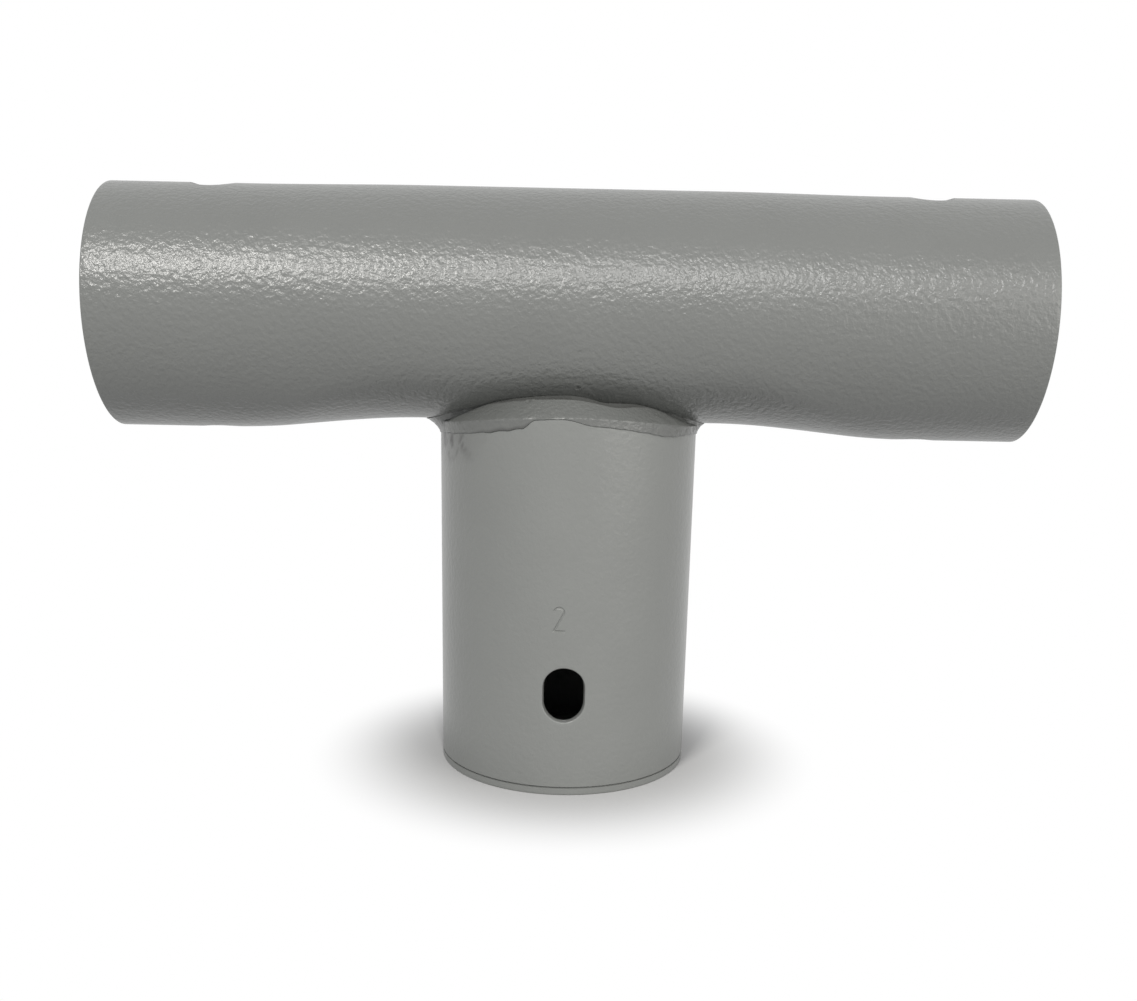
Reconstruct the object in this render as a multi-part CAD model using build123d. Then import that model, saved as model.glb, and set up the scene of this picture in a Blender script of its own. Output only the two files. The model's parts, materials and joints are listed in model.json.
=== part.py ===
from build123d import *

import os
from math import cos, radians, sin, sqrt

# Welded tube tee: a run tube across the top, a wider branch tube below it, and the weld that joins them.
# The tee stands on the foot of its branch. The origin is at the centre of the foot, +Z runs up the branch,
# and the run tube lies along X. The slot that faces -Y is the one near the foot.


# run tube
RUN_OD = 38.0
RUN_WALL = 1.5
RUN_LENGTH = 145.0
RUN_AXIS_HEIGHT = 75.0        # from the foot to the run tube's axis

# branch tube
BRANCH_OD = 42.0
BRANCH_WALL = 1.5
COPE_RISE = 2.8               # how far the coped end climbs beside the run tube
ROOT_GAP = 0.1                # left open under the run tube for the weld
BEVEL_DROP = 0.3              # the weld bevel inside the coped end starts this far below its lowest point
BEVEL_LAND = 0.6              # wall left by the bevel at the highest point

# slots for M6 bolts, through both walls of each tube
SLOT_WIDTH = 6.8
SLOT_LENGTH = 9.0
RUN_SLOT_INSET = 16.0         # from each end of the run tube to its slot's centre, across the tube
BRANCH_SLOT_HEIGHT = 17.0     # from the foot to the slot's centre, along the tube

# groove rolled round the foot, above a plain lip
LIP_HEIGHT = 1.15
GROOVE_WIDTH = 0.3
GROOVE_DEPTH = 0.35

# the weld presses the run tube's underside up into a shallow dish, and the rest of its section swells
DISH_DEPTH = 2.1
DISH_FLAT = 48.0              # length at full depth, under the branch
DISH_RAMP = 35.0              # length over which each end of the dish fades out
DISH_RADIUS = 24.0            # roundness of the pressed underside, across the tube
DISH_LEAD = 0.3               # clearance under the plain ends, so that the dish runs out before them
SWELL = 0.25
SWELL_LENGTH = 100.0          # the tube is plain outside this length

# weld bead: width and drop of its face at the front and back, and below the run tube at the sides
BEAD_REACH_FRONT = 7.2
BEAD_REACH_SIDE = 1.8
BEAD_TOE_FRONT = 0.35         # how far the face laps down over the branch's coped end
BEAD_LEG_SIDE = 1.9
BEAD_PROUD = 0.15             # how far its toes stand off both tubes
BEAD_UNDERFILL = 0.5          # how far the root runs below the coped end, inside the branch
BEAD_OVERLAP = 1.0            # how far the section runs up into the run tube, which is then cut away
BEAD_STATIONS = 4             # sections in a quarter of the bead

run_r = RUN_OD / 2
branch_r = BRANCH_OD / 2
branch_bore_r = branch_r - BRANCH_WALL
dish_axis = DISH_RADIUS - run_r            # height of the dish's axis above the run axis
underside = -run_r + DISH_DEPTH            # lowest point of the dished section, from the run axis
cope_low = underside - ROOT_GAP            # the branch's end at its two sides, from the run axis
cope_radius = (branch_r**2 + COPE_RISE**2) / (2 * COPE_RISE)


def rod_about_x(upper_edge, end_radius, height):
    """Round rod along X, turned from its upper edge, with its axis at a height above the run axis."""
    end = RUN_LENGTH / 2
    closing = Polyline((-end, end_radius), (-end, 0), (end, 0), (end, end_radius))
    profile = Plane.XZ * make_face(upper_edge + closing)
    return Pos(0, 0, height) * revolve(profile, Axis.X)


def dished_rod(inset):
    """The run tube's outer form, or its bore where inset is the wall: swollen, and dished below."""
    end, plain, full = RUN_LENGTH / 2, SWELL_LENGTH / 2, DISH_FLAT / 2
    small = run_r - inset
    large = small + SWELL
    swollen = Polyline(
        (-end, small), (-plain, small), (-full, large), (full, large), (plain, small), (end, small)
    )
    shallow, deep = DISH_RADIUS + DISH_LEAD - inset, DISH_RADIUS - DISH_DEPTH - inset
    fade_middle = (full + DISH_RAMP / 2, (shallow + deep) / 2)
    fade_out = Curve() + [
        Line((0, deep), (full, deep)),
        TangentArc((full, deep), fade_middle, tangent=(1, 0)),
        TangentArc((full + DISH_RAMP, shallow), fade_middle, tangent=(-1, 0)),
        Line((full + DISH_RAMP, shallow), (end, shallow)),
    ]
    dished = fade_out + mirror(fade_out, Plane.YZ)
    return rod_about_x(swollen, small, 0) & rod_about_x(dished, shallow, dish_axis)


def underside_height(y):
    """Height of the dished underside at a distance y from its middle line, from the run axis."""
    swollen = -sqrt((run_r + SWELL)**2 - y**2)
    dished = dish_axis - sqrt((DISH_RADIUS - DISH_DEPTH)**2 - y**2)
    return max(swollen, dished)


def slot_prism(centre, direction, long_way, depth):
    """Prism of one bolt slot, cut both ways from its centre."""
    plane = Plane(centre, x_dir=long_way, z_dir=direction)
    return extrude(plane * SlotOverall(SLOT_LENGTH, SLOT_WIDTH), depth, both=True)


def make_run(rod):
    """The run tube about its own axis, bored out of its outer form."""
    tube = rod - dished_rod(RUN_WALL)
    for side in (-1, 1):
        slot_x = side * (RUN_LENGTH / 2 - RUN_SLOT_INSET)
        tube -= slot_prism((slot_x, 0, 0), (0, 0, 1), (0, 1, 0), RUN_OD)
    return tube


def make_branch():
    """The branch tube below the run axis: coped at the top, slotted and grooved near the foot."""
    foot = -RUN_AXIS_HEIGHT
    blank = Plane((0, 0, foot)) * extrude(Circle(branch_r) - Circle(branch_bore_r), RUN_AXIS_HEIGHT)
    cutter_axis = Plane((0, 0, cope_low + cope_radius), z_dir=(1, 0, 0))
    tube = blank - extrude(cutter_axis * Circle(cope_radius), BRANCH_OD, both=True)
    bevel_height = BEVEL_DROP + COPE_RISE
    bevel = Cone(branch_bore_r, branch_r - BEVEL_LAND, bevel_height)
    tube -= Pos(0, 0, cope_low - BEVEL_DROP + bevel_height / 2) * bevel
    tube -= slot_prism((0, 0, foot + BRANCH_SLOT_HEIGHT), (0, 1, 0), (0, 0, 1), BRANCH_OD)
    groove = Circle(branch_r + GROOVE_DEPTH) - Circle(branch_r - GROOVE_DEPTH)
    return tube - Plane((0, 0, foot + LIP_HEIGHT)) * extrude(groove, GROOVE_WIDTH)


def bead_section(turn):
    """Section of the weld at an angle in degrees about the branch, from the side round to the front."""
    across, front = cos(radians(turn)), sin(radians(turn)) ** 2
    outward = Vector(across, -sin(radians(turn)), 0)

    def point(reach, height):
        return outward * reach + Vector(0, 0, height)

    # upper toe: on the run tube, along an ellipse that is wide at the sides and narrow at the front
    wide, narrow = branch_r + BEAD_REACH_SIDE, branch_r - BEAD_REACH_FRONT
    toe_reach = wide * narrow / sqrt((narrow * across) ** 2 + wide**2 * front)
    toe_height = underside_height(toe_reach * sqrt(front))
    # lower toe: on the branch tube, just below its coped end
    end_height = cope_low + cope_radius - sqrt(cope_radius**2 - branch_r**2 * front)
    leg = BEAD_LEG_SIDE + (BEAD_TOE_FRONT - BEAD_LEG_SIDE) * front
    # root: inside the branch's wall, under the run tube, and up inside it
    inner = branch_bore_r - (BEAD_REACH_FRONT + 1) * front
    wall_middle = branch_r - BRANCH_WALL / 2
    root_height = end_height - BEAD_UNDERFILL * front
    corners = [
        point(toe_reach, toe_height - BEAD_PROUD),
        point(inner, toe_height + BEAD_OVERLAP),
        point(inner, root_height),
        point(wall_middle, root_height),
        point(wall_middle, end_height - BEAD_UNDERFILL - leg),
        point(branch_r + BEAD_PROUD, end_height - leg),
    ]
    return Wire.make_polygon(corners)


def make_bead(run_rod, branch):
    """The weld: a ring that fills the corner all round, seated on both tubes."""
    sections = [bead_section(90 * i / (BEAD_STATIONS - 1)) for i in range(BEAD_STATIONS)]
    quarter = Solid.make_loft(sections)
    half = Part() + quarter + mirror(quarter, Plane.YZ)
    ring = half + mirror(half, Plane.XZ)
    return ring - run_rod - branch


def write_node(name, shape):
    """Stand the shape on its foot, name it and write it."""
    node = Pos(0, 0, RUN_AXIS_HEIGHT) * shape
    node.label = name
    export_step(node, f"parts/{name}.step")
    box = node.bounding_box()
    print(name, len(node.solids()), "solid", round(node.volume, 1), "mm3", box.min, box.max)


os.makedirs("parts", exist_ok=True)
run_rod = dished_rod(0)
branch = make_branch()
write_node("run_tube", make_run(run_rod))
write_node("branch_tube", branch)
write_node("weld_bead", make_bead(run_rod, branch))
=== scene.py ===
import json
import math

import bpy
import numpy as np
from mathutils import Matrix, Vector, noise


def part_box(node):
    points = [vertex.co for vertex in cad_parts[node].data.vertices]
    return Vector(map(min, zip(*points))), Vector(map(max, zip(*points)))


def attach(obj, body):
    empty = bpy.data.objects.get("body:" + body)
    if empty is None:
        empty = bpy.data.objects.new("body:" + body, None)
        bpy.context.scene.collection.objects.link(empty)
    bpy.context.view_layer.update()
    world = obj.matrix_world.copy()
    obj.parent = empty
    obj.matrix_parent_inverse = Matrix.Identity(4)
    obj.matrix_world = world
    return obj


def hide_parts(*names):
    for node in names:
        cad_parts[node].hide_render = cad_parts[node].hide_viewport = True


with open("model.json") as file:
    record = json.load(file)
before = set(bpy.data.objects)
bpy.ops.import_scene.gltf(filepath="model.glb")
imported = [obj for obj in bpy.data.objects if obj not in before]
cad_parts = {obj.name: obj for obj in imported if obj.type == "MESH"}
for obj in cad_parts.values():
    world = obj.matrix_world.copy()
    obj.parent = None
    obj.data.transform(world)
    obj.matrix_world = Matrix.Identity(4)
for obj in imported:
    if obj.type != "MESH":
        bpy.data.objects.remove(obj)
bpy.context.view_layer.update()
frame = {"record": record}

# Looks of the welded tube tee: powder-coated tubes, their weld, and the plain studio round them.
#
# Meshes are worked out in millimetres in the part's own frame and stored in metres. Angles are in
# radians. Round the run tube they count from its bottom towards -Y, and round the branch tube from
# the front (-Y) towards +X.

MM = 0.001
TURN = 2 * math.pi
SMOOTH_ANGLE = math.radians(40)

# sizes read from the frame
mounts = {mount["name"]: mount for mount in frame["record"]["mounts"]}
AXIS_Z = mounts["run_spigot_right"]["pos_m"][2] / MM
RUN_R = mounts["run_spigot_right"]["dims"]["r_mm"]
WALL = RUN_R - mounts["run_socket_right"]["dims"]["r_mm"]
RUN_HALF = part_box("run_tube")[1].x / MM
RUN_SLOT_X = mounts["run_slot_right_top"]["pos_m"][0] / MM
BRANCH_R = -mounts["branch_slot_front"]["pos_m"][1] / MM
BRANCH_SLOT_Z = mounts["branch_slot_front"]["pos_m"][2] / MM
SLOT_R = mounts["branch_slot_front"]["dims"]["hole_r_mm"]
SLOT_STRAIGHT = mounts["branch_slot_front"]["dims"]["slot_length_mm"] / 2 - SLOT_R
COPE_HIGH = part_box("branch_tube")[1].z / MM - AXIS_Z
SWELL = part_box("run_tube")[1].z / MM - AXIS_Z - RUN_R

# the weld's dish in the run tube's underside
DISH_DEPTH = 2.1
DISH_FLAT = 24.0
DISH_FADE = 59.0
DISH_R = 24.0
DISH_LEAD = 0.3
DISH_AXIS = DISH_R - RUN_R    # height above the run axis
SWELL_END = 50.0
CREASE_BLEND = 0.5            # rounding where the dish meets the round of the tube

# the branch tube
COPE_LOW = -RUN_R + DISH_DEPTH - 0.1
COPE_R = (BRANCH_R**2 + (COPE_HIGH - COPE_LOW)**2) / (2 * (COPE_HIGH - COPE_LOW))
STRETCH_FROM = BRANCH_SLOT_Z * 2.2    # above here the grid's rows bend to follow the coped end
GROOVE_Z = (1.15, 1.45)
GROOVE_SLOPE = 0.05
GROOVE_DEPTH = 0.35
GROOVE_ROWS = (1.0, 1.1, 1.15, 1.175, 1.2, 1.25, 1.3, 1.35, 1.4, 1.425, 1.45, 1.5, 1.6)

# the stamped figure: its centre, its size and the grid laid over it
STAMP_X = -0.95
STAMP_Z = 29.5
STAMP_HEIGHT = 3.8
STAMP_BOWL = STAMP_HEIGHT * 0.2
STAMP_STROKE = 0.2
STAMP_DEPTH = 0.17
STAMP_AREA = (1.5, 2.4)
STAMP_STEP = 0.075
BOWL_TURNS = (-0.65, math.pi * 0.9)
FAR = 9.0

# tube grids
RUN_COLUMNS = 180
RUN_STEP = 0.9
BRANCH_COLUMNS = 200
BRANCH_STEP = 0.7
SLOT_MARGIN = 0.7             # grid cleared round a slot
SLOT_COLLAR = 0.5             # ring of faces round a slot's rounded edge
PAINT_ROUND = 0.22            # paint rounds every cut edge
ROUND_STEPS = (22.5, 45, 67.5, 90)

# the nick in the run tube's paint
NICK_ANGLE = math.radians(57)
NICK_X = 1.3
NICK_SIZE = 0.45
NICK_DEPTH = 0.12
NICK_AREA = (1.2, 1.3)
NICK_STEP = 0.16
NICK_MARK = (0.5, 0.55)       # radius and strength

# soot on the branch tube, left of the weld's front
SOOT_DROP = (7.5, 3.0)
SOOT_SIDE = (-BRANCH_R * 0.55, -BRANCH_R * 0.9)

# the weld
BEAD_COLUMNS = 720
BEAD_ACROSS = 26
BEAD_REACH_FRONT = 7.2
BEAD_REACH_SIDE = 1.8
BEAD_SIDE_DIFFERENCE = 0.5
BEAD_LEG_FRONT = 0.35
BEAD_LEG_SIDE = 1.9
BEAD_PROUD = 0.2
BEAD_LIP = 0.18
WANDER_SEED, LEG_SEED, LUMP_SEED, GRAIN_SEED = 3.0, 7.0, 1.0, 9.0

# stretches of the weld, each as the turns where it rises and the turns where it falls
LAP = ((-0.24, -0.34), (-1.35, -0.5))         # the last pass laps over the first and leaves a step
RIDGE = ((0.45, 0.75), (1.9, 1.2))
LOW_TOE = ((-0.05, 0.2), (1.35, 0.75))
HIGH_TOE = ((0.7, 1.2), (2.4, 1.6))
EVEN_PASS = ((-0.25, -0.15), (0.75, 0.5))

# the pit in the weld
PIT_TURN = -0.345
PIT_ACROSS = 0.87
PIT_SIZE = 0.62

# paint and light
COAT_GREY = (0.200, 0.206, 0.198)
# dark colour of soot and paint wear, and of painted shade in the weld's crevice and pit
MARK_AND_SHADE_COLOUR = (0.035, 0.034, 0.032, 1)
# the run and the weld take the branch's grey scaled down by these shares: painted shade standing in for
# light, not a different paint
RUN_PAINTED_SHADE = 0.76
WELD_PAINTED_SHADE = 0.66
WHITE = (1, 1, 1, 1)
FLOOR_HALF = 1.5
FLOOR_FADE = (0.0195, 0.045)  # metres from the branch's axis where the floor goes from lit to plain white


def smooth(low, high, value):
    t = min(max((value - low) / (high - low), 0), 1)
    return t * t * (3 - 2 * t)


def stretch(span, turn):
    """How much of a stretch of the weld is present at a turn, from 0 to 1."""
    rise, fall = span
    return smooth(*rise, turn) * smooth(*fall, turn)


def rough(x, y, z, size):
    """Smooth noise from -1 to 1 with features of a size in mm."""
    return noise.noise(Vector((x / size, y / size, z / size)))


def spread(low, high, step):
    return list(np.linspace(low, high, max(2, round((high - low) / step) + 1)))


def wrapped(angle):
    """The same angle, from -pi to pi."""
    return (angle + math.pi) % TURN - math.pi


# ---------------------------------------------------------------- run tube

def dish_depth(x):
    return DISH_DEPTH - (DISH_DEPTH + DISH_LEAD) * smooth(DISH_FLAT, DISH_FADE, abs(x))


def run_radius(angle, x, inset):
    """Outer radius of the run tube at an angle from its bottom, less the inset."""
    swollen = RUN_R + SWELL * smooth(-SWELL_END, -DISH_FLAT, -abs(x))
    across = DISH_R - dish_depth(x)
    reach = across**2 - (DISH_AXIS * math.sin(angle))**2
    dished = -DISH_AXIS * math.cos(angle) + math.sqrt(reach)
    gap = max(CREASE_BLEND - abs(swollen - dished), 0) / CREASE_BLEND
    return min(swollen, dished) - gap * gap * CREASE_BLEND / 4 - inset


def run_point(angle, x, inset):
    r = run_radius(angle, x, inset)
    return (x, -r * math.sin(angle), AXIS_Z - r * math.cos(angle))


def nicked_run_point(angle, x, inset):
    """Point of the run tube, moved in at the nick and out along the nick's raised lip."""
    away = math.hypot((angle - NICK_ANGLE) * RUN_R, x - NICK_X) / NICK_SIZE
    if inset > 0 or away >= 3:
        return run_point(angle, x, inset)
    lip = 0.5 * math.exp(-((away - 1.3) / 0.3)**2)
    return run_point(angle, x, inset + NICK_DEPTH * (1 - smooth(0.2, 1.0, away)) - NICK_DEPTH * lip)


# ---------------------------------------------------------------- branch tube

def cope_height(y):
    """Height of the branch tube's coped end at a distance y from its middle."""
    return AXIS_Z + COPE_LOW + COPE_R - math.sqrt(COPE_R**2 - y**2)


def stroke_distance(spot, start, end):
    along = max(0, min(1, (spot - start).dot(end - start) / (end - start).length_squared))
    return (spot - start - (end - start) * along).length


def digit_distance(x, z):
    """Distance in mm from a point to the strokes of a plain stamped figure two."""
    half = STAMP_HEIGHT / 2
    centre = half - STAMP_BOWL
    first, last = BOWL_TURNS
    turn = math.atan2(z - centre, x)
    bowl = abs(math.hypot(x, z - centre) - STAMP_BOWL) if first < turn < last else FAR
    start = Vector((STAMP_BOWL * math.cos(first), centre + STAMP_BOWL * math.sin(first)))
    foot = Vector((-STAMP_BOWL * 1.05, -half))
    toe = Vector((STAMP_BOWL * 1.1, -half))
    spot = Vector((x, z))
    return min(bowl, stroke_distance(spot, start, foot), stroke_distance(spot, foot, toe))


def branch_relief(angle, x, z):
    """Depth of the groove and of the stamped figure at a point of the branch tube's outside."""
    low, high = GROOVE_Z
    depth = GROOVE_DEPTH * (smooth(low, low + GROOVE_SLOPE, z) - smooth(high - GROOVE_SLOPE, high, z))
    if abs(angle) < 0.2 and abs(z - STAMP_Z) < STAMP_HEIGHT:
        away = digit_distance(x - STAMP_X, z - STAMP_Z) / STAMP_STROKE
        depth += STAMP_DEPTH * (1 - smooth(0.3, 1.0, away))
    return depth


def branch_point(angle, height, inset):
    """Point of the branch tube; its height is in mm near the foot and bends up to the coped end."""
    r = BRANCH_R - inset
    flat_top = AXIS_Z + COPE_LOW
    climb = cope_height(BRANCH_R * math.cos(angle)) - flat_top
    z = height + climb * smooth(STRETCH_FROM, flat_top, height)
    if inset < WALL / 2:
        r -= branch_relief(angle, r * math.sin(angle), z)
    return (r * math.sin(angle), -r * math.cos(angle), z)


# ---------------------------------------------------------------- tube meshes

def make_object(name, points, faces, marks):
    mesh = bpy.data.meshes.new(name)
    mesh.from_pydata([tuple(c * MM for c in p) for p in points], [], faces)
    mesh.validate()
    layer = mesh.attributes.new("marks", "FLOAT", "POINT")
    layer.data.foreach_set("value", np.array(marks, np.float32))
    mesh.shade_smooth()
    mesh.set_sharp_from_angle(angle=SMOOTH_ANGLE)
    piece = bpy.data.objects.new(name, mesh)
    bpy.context.scene.collection.objects.link(piece)
    return piece


def slot_outline(turn, along_tube, offset):
    """Point of a slot's outline at a turn about its centre: (across the tube, along the tube)."""
    c, s = math.cos(turn), math.sin(turn)
    long_part, short_part = (s, c) if along_tube else (c, s)
    # a ray from the centre meets either the straight side or the round end
    radius = SLOT_R + offset
    if abs(long_part) * radius <= SLOT_STRAIGHT * abs(short_part):
        reach = radius / abs(short_part)
    else:
        lean = SLOT_STRAIGHT * abs(long_part)
        reach = lean + math.sqrt(lean**2 - SLOT_STRAIGHT**2 + radius**2)
    return reach * c, reach * s


def rounded_edge(degrees):
    """Steps over a rounded paint edge: (distance out from the cut, depth below the surface)."""
    turns = [math.radians(d) for d in degrees]
    return [(PAINT_ROUND * (1 - math.sin(t)), PAINT_ROUND * (1 - math.cos(t))) for t in turns]


class TubeWall:
    """Closed wall of a tube, as a grid of angles by stations inside and out, with slots cut in it."""

    def __init__(self, angles, stations, point, radius):
        self.angles, self.stations = angles, stations
        self.point, self.radius = point, radius
        self.points, self.faces, self.cleared = [], [], set()
        self.outer = self.layer(0.0)
        self.inner = self.layer(WALL)

    def ring(self, spots):
        first = len(self.points)
        self.points += [self.point(*spot) for spot in spots]
        return list(range(first, len(self.points)))

    def layer(self, inset):
        return [self.ring([(a, v, inset) for a in self.angles]) for v in self.stations]

    def bridge(self, rings, flip):
        """Join each ring to the next."""
        for one, two in zip(rings, rings[1:]):
            for k in range(len(one)):
                n = (k + 1) % len(one)
                quad = (one[k], one[n], two[n], two[k])
                self.faces.append(quad[::-1] if flip else quad)

    def clear_patch(self, angle, station, across, along):
        """Clear the grid round a slot, and return the loop of grid places left at its edge."""
        near = [(wrapped(a - angle), i) for i, a in enumerate(self.angles)]
        columns = [i for t, i in sorted(near) if abs(t) * self.radius < across + SLOT_MARGIN]
        rows = [j for j, v in enumerate(self.stations) if abs(v - station) < along + SLOT_MARGIN]
        count = len(self.angles)
        columns = [(columns[0] - 1) % count] + columns + [(columns[-1] + 1) % count]
        rows = [rows[0] - 1] + rows + [rows[-1] + 1]
        self.cleared |= {(i, j) for i in columns[:-1] for j in rows[:-1]}
        loop = [(i, rows[0]) for i in columns] + [(columns[-1], j) for j in rows[1:]]
        loop += [(i, rows[-1]) for i in reversed(columns[:-1])]
        return loop + [(columns[0], j) for j in reversed(rows[1:-1])]

    def cut_slot(self, angle, station, along_tube):
        long_half = SLOT_R + SLOT_STRAIGHT
        across, along = (SLOT_R, long_half) if along_tube else (long_half, SLOT_R)
        loop = self.clear_patch(angle, station, across, along)
        turns = [
            math.atan2(self.stations[j] - station, wrapped(self.angles[i] - angle) * self.radius)
            for i, j in loop
        ]
        lip = rounded_edge((0,) + ROUND_STEPS)
        collar = PAINT_ROUND + SLOT_COLLAR
        sleeve = [(collar, 0.0)] + lip + [(out, WALL - d) for out, d in reversed(lip)] + [(collar, WALL)]
        rings = [[self.outer[j][i] for i, j in loop]]
        for offset, depth in sleeve:
            outline = [slot_outline(turn, along_tube, offset) for turn in turns]
            rings.append(self.ring([(angle + u / self.radius, station + v, depth) for u, v in outline]))
        rings.append([self.inner[j][i] for i, j in loop])
        self.bridge(rings, False)

    def fill_grid(self):
        """Faces of the outside and the inside, apart from what the slots cleared."""
        count = len(self.angles)
        outer, inner = self.outer, self.inner
        for j in range(len(self.stations) - 1):
            for i in range(count):
                if (i, j) in self.cleared:
                    continue
                k = (i + 1) % count
                self.faces.append((outer[j][i], outer[j][k], outer[j + 1][k], outer[j + 1][i]))
                self.faces.append((inner[j][i], inner[j + 1][i], inner[j + 1][k], inner[j][k]))

    def round_rim(self, row, side):
        """Rounded rim at one end of the tube."""
        end = self.stations[row]
        lip = [(end + side * (PAINT_ROUND - out), depth) for out, depth in rounded_edge(ROUND_STEPS)]
        path = lip + [(v, WALL - depth) for v, depth in reversed(lip)]
        rings = [self.outer[row]] + [self.ring([(a, v, depth) for a in self.angles]) for v, depth in path]
        rings.append(self.inner[row])
        self.bridge(rings, side < 0)


def tube_mesh(angles, stations, point, radius, slots):
    """Points and faces of a tube wall. Each slot is (angle, station, whether it runs along the tube)."""
    wall = TubeWall(angles, stations, point, radius)
    for slot in slots:
        wall.cut_slot(*slot)
    wall.fill_grid()
    wall.round_rim(0, -1)
    wall.round_rim(len(stations) - 1, 1)
    return wall.points, wall.faces


def spot_marks(points, centre, radius, strength):
    """Dark marks that fade out from a centre."""
    away = np.linalg.norm(np.array(points) - np.array(centre), axis=1) / radius
    return strength * np.clip(1 - away**2, 0, 1)


def build_run():
    """The run tube, with its dished underside, four slots and a small nick in the paint."""
    round_nick, along_nick = NICK_AREA
    angles = sorted(
        spread(0, TURN * (1 - 1 / RUN_COLUMNS), TURN / RUN_COLUMNS)
        + [NICK_ANGLE + d / RUN_R for d in spread(-round_nick, round_nick, NICK_STEP)]
    )
    edge = RUN_HALF - PAINT_ROUND
    stations = sorted(
        spread(-edge, edge, RUN_STEP) + [NICK_X + d for d in spread(-along_nick, along_nick, NICK_STEP)]
    )
    slots = [(face, side * RUN_SLOT_X, False) for face in (0.0, math.pi) for side in (-1, 1)]
    points, faces = tube_mesh(angles, stations, nicked_run_point, RUN_R, slots)
    x, y, z = run_point(NICK_ANGLE, NICK_X, 0)
    marks = spot_marks(points, (x + 0.1, y, z - 0.25), *NICK_MARK)
    return make_object("run_tube_coated", points, faces, marks)


def soot(x, y, z):
    """Dark speckle on the branch tube, left of the weld's front."""
    top = cope_height(y)
    low, high = top - SOOT_DROP[0], top - SOOT_DROP[1]
    if y >= 0 or x >= SOOT_SIDE[0] or z <= low:
        return 0.0
    speck = rough(x, y, z, 0.7) * 0.5 + rough(x, y, z, 1.9) * 0.6
    return smooth(low, high, z) * smooth(*SOOT_SIDE, x) * (0.25 + 0.75 * smooth(0.0, 0.35, speck))


def build_branch():
    """The branch tube, with its groove, slots and stamped figure."""
    half_width, half_height = STAMP_AREA
    fine = [(STAMP_X + d) / BRANCH_R for d in spread(-half_width, half_width, STAMP_STEP)]
    coarse = spread(-math.pi, math.pi - TURN / BRANCH_COLUMNS, TURN / BRANCH_COLUMNS)
    angles = sorted([a for a in coarse if not fine[0] - 0.01 < a < fine[-1] + 0.01] + fine)
    top = AXIS_Z + COPE_LOW - PAINT_ROUND
    figure = spread(STAMP_Z - half_height, STAMP_Z + half_height, STAMP_STEP)
    stations = [PAINT_ROUND, 0.5, *GROOVE_ROWS]
    stations += spread(2.0, figure[0] - 0.2, BRANCH_STEP) + figure
    stations += spread(figure[-1] + 0.2, top, BRANCH_STEP)
    slots = [(face, BRANCH_SLOT_Z, True) for face in (0.0, math.pi)]
    points, faces = tube_mesh(angles, stations, branch_point, BRANCH_R, slots)
    return make_object("branch_tube_coated", points, faces, [soot(*p) for p in points])


# ---------------------------------------------------------------- weld

def upper_toe(turn):
    """Upper edge of the weld, on the run tube: (reach from the branch's axis, height)."""
    side, front = math.sin(turn), math.cos(turn)
    uneven = BEAD_SIDE_DIFFERENCE if side < 0 else -BEAD_SIDE_DIFFERENCE
    wide = BRANCH_R + BEAD_REACH_SIDE + uneven * side * side
    narrow = BRANCH_R - BEAD_REACH_FRONT
    reach = wide * narrow / math.hypot(narrow * side, wide * front)
    reach += 0.25 * rough(front * 9, side * 9, WANDER_SEED, 2.6) * abs(side)
    reach -= 1.2 * math.exp(-((turn - 0.42) / 0.22)**2)
    y = abs(reach * front)
    swollen = -math.sqrt((RUN_R + SWELL)**2 - y**2)
    dished = DISH_AXIS - math.sqrt((DISH_R - DISH_DEPTH)**2 - y**2)
    return reach, max(swollen, dished)


def lower_toe(turn):
    """Lower edge of the weld, on the branch tube: (reach from the branch's axis, height)."""
    lap, ridge = stretch(LAP, turn), stretch(RIDGE, turn)
    leg = BEAD_LEG_FRONT + (BEAD_LEG_SIDE - BEAD_LEG_FRONT) * math.sin(turn)**2
    leg += 1.15 * lap + 0.85 * stretch(LOW_TOE, turn) - 0.5 * stretch(HIGH_TOE, turn)
    leg += 0.16 * rough(turn * BRANCH_R, 0.0, LEG_SEED, 1.7) * (0.25 + lap + ridge)
    return BRANCH_R, branch_end(turn) - leg


def branch_end(turn):
    """Height of the branch tube's coped end above the run axis."""
    return cope_height(BRANCH_R * math.cos(turn)) - AXIS_Z


def crown(turn, t):
    """How far the weld's face stands out between its toes, at a share t of the way up."""
    front = math.cos(turn)**2
    full = 0.42 * front - 0.35 * (1 - front) + 0.3 * stretch(RIDGE, turn) * front + 0.12 * stretch(LAP, turn)
    return full * (4 * t * (1 - t))**0.7


def ripples(turn, t, length):
    """Ripples, lumps and grain of the weld's face, weak where the pass ran even."""
    along, across = turn * BRANCH_R, t * length
    wave = math.sin(along / 0.62 + 2.2 * (t - 0.5)**2 + rough(turn * 20, t, 0, 2.0))
    lumps = rough(along, across, LUMP_SEED, 1.5)
    grain = rough(along, across, GRAIN_SEED, 0.6)
    strength = 0.15 + 0.85 * (1 - stretch(EVEN_PASS, turn))
    mixed = 0.035 * wave + (0.16 + 0.25 * stretch(RIDGE, turn)) * lumps + 0.05 * grain
    return strength * mixed * (t * (1 - t) * 4)**0.5


def pit_distance(turn, t, length):
    return math.hypot((turn - PIT_TURN) * BRANCH_R, (t - PIT_ACROSS) * length) / PIT_SIZE


def weld_marks_and_shade(turn, t, hole):
    """Painted shade in the crevice along the upper toe and in the pit, and a darker patch at the step of the
    lap.
    """
    # edge paints shade into the crevice along the upper toe, and the pit's term paints shade into its hollow
    edge = smooth(0.93, 0.99, t) * 0.6 * smooth(0.9, 0.6, abs(turn))
    step = 0.6 * stretch(LAP, turn) * smooth(0.1, 0.0, t) * smooth(0.5, 0.2, abs(turn + 0.35))
    return max(edge, 0.9 * (1 - smooth(0.3, 0.9, hole)), step)


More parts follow.
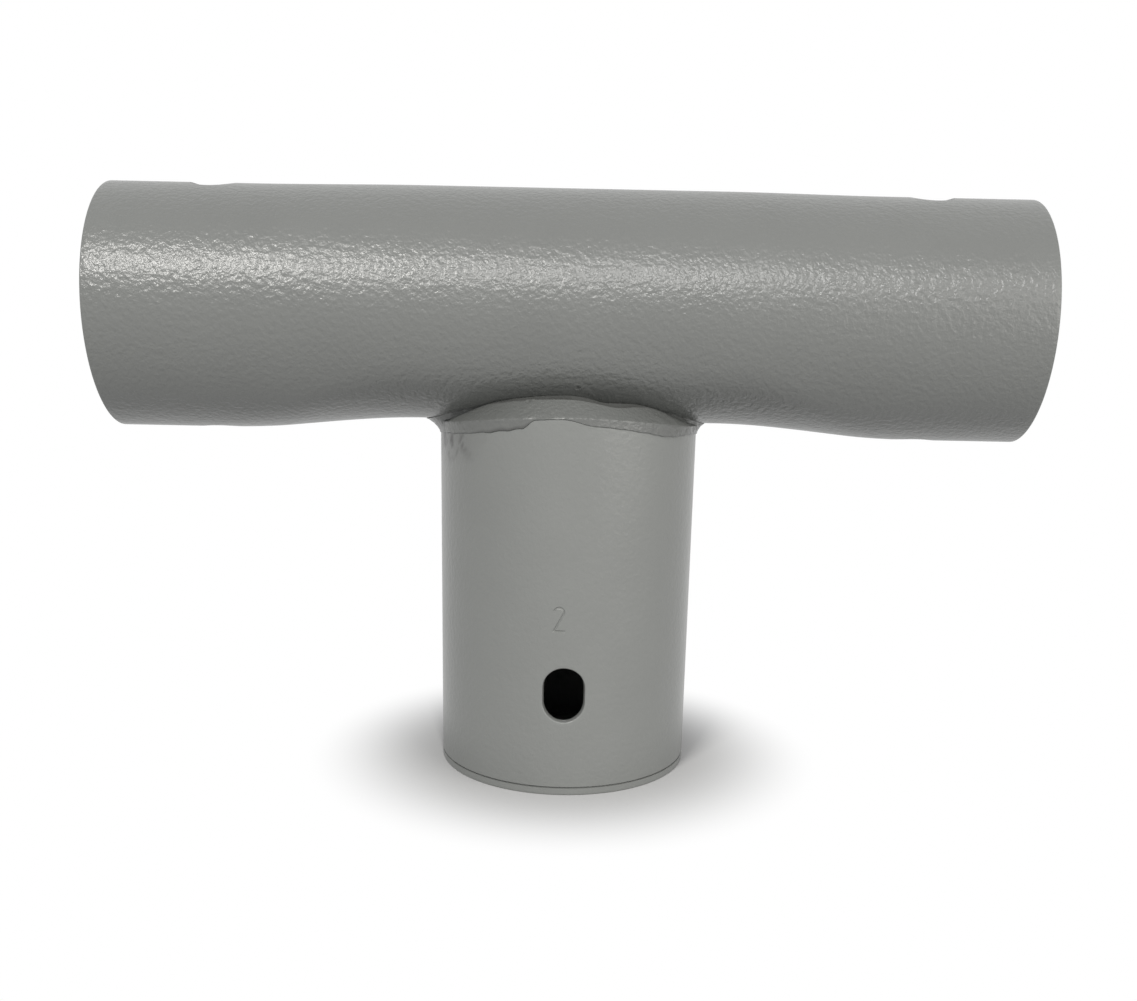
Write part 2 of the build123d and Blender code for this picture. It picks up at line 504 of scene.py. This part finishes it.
def weld_face(turn, upper, lower):
    """The open face of the weld at a turn: its (reach, height) pairs and their dark marks, which are mostly
    painted shade.
    """
    du, dv = upper[0] - lower[0], upper[1] - lower[1]
    length = math.hypot(du, dv)
    end = branch_end(turn)
    section, marks = [], []
    for t in np.arange(BEAD_ACROSS) / (BEAD_ACROSS - 1):
        hole = pit_distance(turn, t, length)
        texture = ripples(turn, t, length)
        texture -= 0.75 * (1 - smooth(0.35, 1.0, hole)) - 0.18 * math.exp(-((hole - 1.35) / 0.35)**2)
        proud = BEAD_PROUD + crown(turn, t) + texture
        r = lower[0] + du * t + dv / length * proud
        z = lower[1] + dv * t - du / length * proud
        # the lip stays outside the branch tube until it has passed the tube's end
        lip_r = BRANCH_R + BEAD_LIP + 0.3 * texture - 1.5 * max(z - end, 0)
        section.append((max(r, lip_r), z))
        marks.append(weld_marks_and_shade(turn, t, hole))
    return section, marks


def weld_root(turn, upper, lower):
    """The hidden side of the weld, sunk into both tubes, as (reach, height) pairs."""
    front = math.cos(turn)**2
    inner = BRANCH_R - WALL - (BEAD_REACH_FRONT + 1) * front
    in_wall = BRANCH_R - WALL / 2
    end = branch_end(turn)
    return [
        (upper[0] - 0.1, upper[1] + 0.5),
        (inner, upper[1] + 0.7),
        (inner, end - 0.45 * front),
        (in_wall, end - 0.4),
        (in_wall, lower[1] - 0.4),
    ]


def build_bead():
    """The weld: a closed ring that laps over its own start, with ripples and a pit."""
    points, faces, marks = [], [], []
    for n in range(BEAD_COLUMNS):
        turn = -math.pi + TURN * n / BEAD_COLUMNS
        upper, lower = upper_toe(turn), lower_toe(turn)
        face, face_marks_and_shade = weld_face(turn, upper, lower)
        root = weld_root(turn, upper, lower)
        marks += face_marks_and_shade + [0.0] * len(root)
        points += [(r * math.sin(turn), -r * math.cos(turn), AXIS_Z + z) for r, z in face + root]
    size = len(points) // BEAD_COLUMNS
    for n in range(BEAD_COLUMNS):
        k = (n + 1) % BEAD_COLUMNS
        for m in range(size):
            j = (m + 1) % size
            faces.append((n * size + m, k * size + m, k * size + j, n * size + j))
    return make_object("weld_bead_coated", points, faces, marks)


# ---------------------------------------------------------------- materials

class Nodes:
    """Short hand for building a node tree."""

    def __init__(self, owner):
        owner.use_nodes = True
        self.tree = owner.node_tree
        self.tree.nodes.clear()

    def add(self, kind, values=None, **settings):
        node = self.tree.nodes.new(kind)
        for key, value in settings.items():
            setattr(node, key, value)
        for key, value in (values or {}).items():
            node.inputs[key].default_value = value
        return node

    def link(self, output, node, socket):
        self.tree.links.new(output, node.inputs[socket])

    def map_range(self, source, values, **settings):
        node = self.add("ShaderNodeMapRange", values, **settings)
        self.link(source, node, "Value")
        return node.outputs["Result"]


def orange_peel(n, place, strength, size):
    """Two bumps, one of coarse grain and one of fine grain."""
    normal = None
    for scale, power, distance in ((1200, strength, 0.00022), (2900, strength * 0.7, 0.00006)):
        grain = n.add("ShaderNodeTexNoise", {"Scale": scale / size, "Detail": 2})
        n.link(place, grain, "Vector")
        bump = n.add("ShaderNodeBump", {"Strength": power, "Distance": distance})
        n.link(grain.outputs["Fac"], bump, "Height")
        if normal:
            n.link(normal, bump, "Normal")
        normal = bump.outputs["Normal"]
    return normal


def powder_coat(name, painted_shade_scale, peel, peel_size=1.0):
    """Satin grey powder coat: orange peel, faint cloudiness, its grey scaled down for painted shade, and
    dark marks and painted shade from the mesh.
    """
    material = bpy.data.materials.new(name)
    n = Nodes(material)
    place = n.add("ShaderNodeTexCoord").outputs["Object"]
    clouds = n.add("ShaderNodeTexNoise", {"Scale": 95, "Detail": 4})
    n.link(place, clouds, "Vector")
    cloud = clouds.outputs["Fac"]

    # the coat's grey scaled down as painted shade; 1.0 leaves it as it is
    colour = tuple(c * painted_shade_scale for c in COAT_GREY)
    paint = n.add("ShaderNodeVectorMath", {0: colour}, operation="SCALE")
    n.link(n.map_range(cloud, {"To Min": 0.95, "To Max": 1.05}), paint, "Scale")
    # the marks attribute holds soot and paint wear, and on the weld painted shade at the upper toe and in
    # the pit
    marks = n.add("ShaderNodeAttribute", attribute_name="marks")
    marked = n.add("ShaderNodeMix", data_type="RGBA")
    marked.inputs["B"].default_value = MARK_AND_SHADE_COLOUR
    n.link(marks.outputs["Fac"], marked, "Factor")
    n.link(paint.outputs["Vector"], marked, "A")

    shader = n.add("ShaderNodeBsdfPrincipled", {"Specular IOR Level": 0.5})
    n.link(marked.outputs["Result"], shader, "Base Color")
    n.link(n.map_range(cloud, {"To Min": 0.25, "To Max": 0.35}), shader, "Roughness")
    n.link(orange_peel(n, place, peel, peel_size), shader, "Normal")
    n.link(shader.outputs["BSDF"], n.add("ShaderNodeOutputMaterial"), "Surface")
    return material


def sees_white(n):
    """1 on camera, glossy and transmission rays, which see the plain background as white."""
    rays = n.add("ShaderNodeLightPath")
    first = n.add("ShaderNodeMath", operation="MAXIMUM")
    second = n.add("ShaderNodeMath", operation="MAXIMUM")
    n.link(rays.outputs["Is Camera Ray"], first, 0)
    n.link(rays.outputs["Is Glossy Ray"], first, 1)
    n.link(first.outputs[0], second, 0)
    n.link(rays.outputs["Is Transmission Ray"], second, 1)
    return second.outputs[0]


def floor_material():
    """Pale floor that keeps the object's shadow and fades to plain white further out."""
    material = bpy.data.materials.new("pale_floor")
    n = Nodes(material)
    away = n.add("ShaderNodeVectorMath", operation="LENGTH")
    n.link(n.add("ShaderNodeTexCoord").outputs["Object"], away, 0)
    near, far = FLOOR_FADE
    fade = n.map_range(
        away.outputs["Value"],
        {"From Min": near, "From Max": far, "To Min": 0.0, "To Max": 1.0},
        interpolation_type="SMOOTHSTEP",
    )
    share = n.add("ShaderNodeMath", operation="MULTIPLY")
    n.link(sees_white(n), share, 0)
    n.link(fade, share, 1)
    mix = n.add("ShaderNodeMixShader")
    n.link(share.outputs[0], mix, "Fac")
    n.link(n.add("ShaderNodeBsdfDiffuse", {"Color": (0.5, 0.5, 0.5, 1)}).outputs["BSDF"], mix, 1)
    n.link(n.add("ShaderNodeEmission", {"Color": WHITE, "Strength": 1.0}).outputs["Emission"], mix, 2)
    n.link(mix.outputs["Shader"], n.add("ShaderNodeOutputMaterial"), "Surface")
    return material


# ---------------------------------------------------------------- studio

def build_floor():
    half = FLOOR_HALF
    mesh = bpy.data.meshes.new("floor")
    corners = [(-half, -half, 0), (half, -half, 0), (half, half, 0), (-half, half, 0)]
    mesh.from_pydata(corners, [], [(0, 1, 2, 3)])
    floor = bpy.data.objects.new("floor", mesh)
    bpy.context.scene.collection.objects.link(floor)
    mesh.materials.append(floor_material())


def build_world():
    """White to the camera and in reflections, and a plain soft light otherwise."""
    world = bpy.data.worlds.new("studio")
    n = Nodes(world)
    soft = n.add("ShaderNodeBackground", {"Color": (0.93, 0.96, 1.0, 1), "Strength": 0.36})
    white = n.add("ShaderNodeBackground", {"Color": WHITE, "Strength": 1.0})
    mix = n.add("ShaderNodeMixShader")
    n.link(sees_white(n), mix, "Fac")
    n.link(soft.outputs["Background"], mix, 1)
    n.link(white.outputs["Background"], mix, 2)
    n.link(mix.outputs["Shader"], n.add("ShaderNodeOutputWorld"), "Surface")
    bpy.context.scene.world = world


def add_lamp(name, place, target, size, power, colour):
    light = bpy.data.lights.new(name, "AREA")
    light.shape = "RECTANGLE"
    light.size, light.size_y = size
    light.energy = power
    light.color = colour
    lamp = bpy.data.objects.new(name, light)
    lamp.location = place
    lamp.rotation_mode = "QUATERNION"
    lamp.rotation_quaternion = (Vector(target) - Vector(place)).to_track_quat("-Z", "Y")
    bpy.context.scene.collection.objects.link(lamp)


def build_camera():
    """The viewpoint: low in front, looking down a little, with the frame shifted up."""
    place = Vector((-0.33, -222.4, AXIS_Z + 9.5)) * MM
    yaw, pitch, roll = (math.radians(d) for d in (0.367, 16.33, 1.2))
    focal_pixels, frame_width = 1337.3, 1137
    forward = Vector((math.sin(yaw) * math.cos(pitch), math.cos(yaw) * math.cos(pitch), -math.sin(pitch)))
    level = forward.cross(Vector((0, 0, 1))).normalized()
    above = level.cross(forward)
    right = level * math.cos(roll) + above * math.sin(roll)
    up = above * math.cos(roll) - level * math.sin(roll)
    camera = bpy.data.objects.new("camera", bpy.data.cameras.new("camera"))
    axes = Matrix((right, up, -forward)).transposed().to_4x4()
    camera.matrix_world = Matrix.Translation(place) @ axes
    camera.data.sensor_width = 36.0
    camera.data.lens = focal_pixels * camera.data.sensor_width / frame_width
    camera.data.shift_x, camera.data.shift_y = -0.0019, 0.1269
    camera.data.clip_start, camera.data.clip_end = 0.01, 20.0
    bpy.context.scene.collection.objects.link(camera)
    bpy.context.scene.camera = camera


# ---------------------------------------------------------------- scene

branch_coat = powder_coat("powder_coat_branch", 1.0, 0.3)
# the run and the weld have the branch's coat, darkened as painted shade
run_coat_painted_shade = powder_coat("powder_coat_run_painted_shade", RUN_PAINTED_SHADE, 0.8)
weld_coat_painted_shade = powder_coat("powder_coat_weld_painted_shade", WELD_PAINTED_SHADE, 0.6, 0.8)

for builder, node, material in (
    (build_run, "run_tube", run_coat_painted_shade),
    (build_branch, "branch_tube", branch_coat),
    (build_bead, "weld_bead", weld_coat_painted_shade),
):
    piece = builder()
    piece.data.materials.append(material)
    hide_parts(node)
    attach(piece, "root")

build_floor()
build_world()
add_lamp("key", (-0.36, -0.75, 0.75), (-0.02, 0, 0.06), (0.24, 0.1), 6.5, (1.0, 0.98, 0.95))
add_lamp("spot", (0.075, -0.6, 0.54), (0.02, 0, 0.07), (0.06, 0.06), 1.6, (1.0, 0.99, 0.97))
add_lamp("fill", (0.6, -0.5, 0.3), (0, 0, 0.05), (0.6, 0.6), 3.0, (1.0, 0.97, 0.93))
build_camera()
bpy.context.scene.view_settings.view_transform = "Standard"
